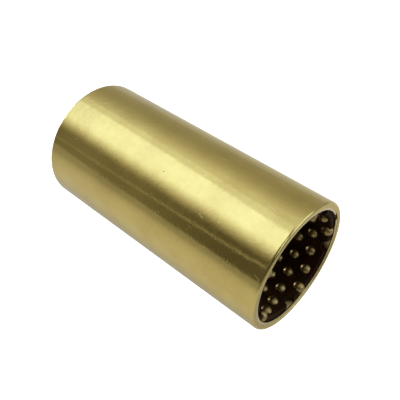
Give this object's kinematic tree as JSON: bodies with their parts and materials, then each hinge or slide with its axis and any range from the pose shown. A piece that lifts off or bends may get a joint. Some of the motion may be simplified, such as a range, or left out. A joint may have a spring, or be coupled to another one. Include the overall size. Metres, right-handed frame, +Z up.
{
  "type": "linear ball bushing",
  "caption": "Brass sleeve with a sliding ball cage inside, held in by split rings at its mouths; carries a shaft on staggered rows of balls.",
  "frame": {"origin": "centre of the sleeve, on its axis", "axes": "+X along the bushing's axis towards the mouth that the cage rests against; +Z up with the bushing lying on its side"},
  "size_m": [0.07, 0.034, 0.034],
  "materials": {
    "sleeve_brass": "satin polished",
    "ring_brass": "drawn",
    "cage_resin": "machined, lightly oiled",
    "ball_brass": "polished"
  },
  "bodies": {
    "sleeve": {"outer_sleeve": "sleeve_brass", "front_retaining_ring": "ring_brass", "rear_retaining_ring": "ring_brass"},
    "cage": {"ball_cage": "cage_resin", "ball_row_01": "ball_brass", "ball_row_02": "ball_brass", "ball_row_03": "ball_brass", "ball_row_04": "ball_brass", "ball_row_05": "ball_brass", "ball_row_06": "ball_brass", "ball_row_07": "ball_brass", "ball_row_08": "ball_brass", "ball_row_09": "ball_brass", "ball_row_10": "ball_brass", "ball_row_11": "ball_brass", "ball_row_12": "ball_brass", "ball_row_13": "ball_brass", "ball_row_14": "ball_brass", "ball_row_15": "ball_brass", "ball_row_16": "ball_brass", "ball_row_17": "ball_brass", "ball_row_18": "ball_brass", "ball_row_19": "ball_brass", "ball_row_20": "ball_brass"}
  },
  "joints": [
    {"name": "cage_slide", "type": "slide", "parent": "sleeve", "child": "cage", "axis": [1, 0, 0], "range_m": [-0.01091, 0]}
  ]
}
